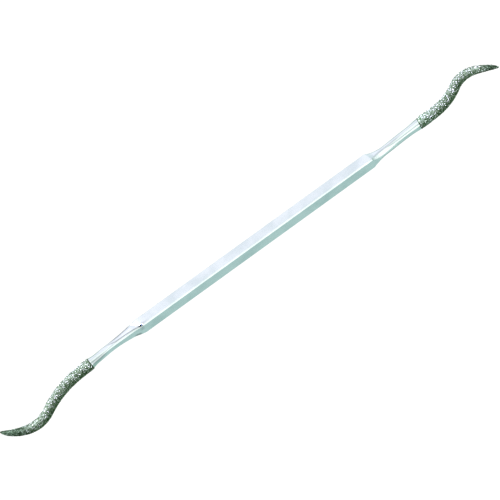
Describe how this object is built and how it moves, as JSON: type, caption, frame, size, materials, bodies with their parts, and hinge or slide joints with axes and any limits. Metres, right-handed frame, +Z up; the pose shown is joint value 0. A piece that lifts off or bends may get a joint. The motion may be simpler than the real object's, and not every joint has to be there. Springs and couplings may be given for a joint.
{
  "type": "diamond riffler file",
  "caption": "Slim riffler file: a square grip with ground necks and round, tapering, diamond-coated ends that bend opposite ways in one plane.",
  "frame": {"origin": "middle of the grip's lower flat", "axes": "+X along the grip towards the shorter end, +Y the way the shorter end bends, +Z up out of the plane of the bends"},
  "size_m": [0.15, 0.0133, 0.0032],
  "materials": {
    "ground_steel": "fine ground and polished, with soft edges",
    "diamond_grit": "rough diamond grit held in grey nickel plate"
  },
  "bodies": {
    "root": {"steel_blank": "ground_steel", "diamond_coat_long": "diamond_grit", "diamond_coat_short": "diamond_grit"}
  },
  "joints": []
}
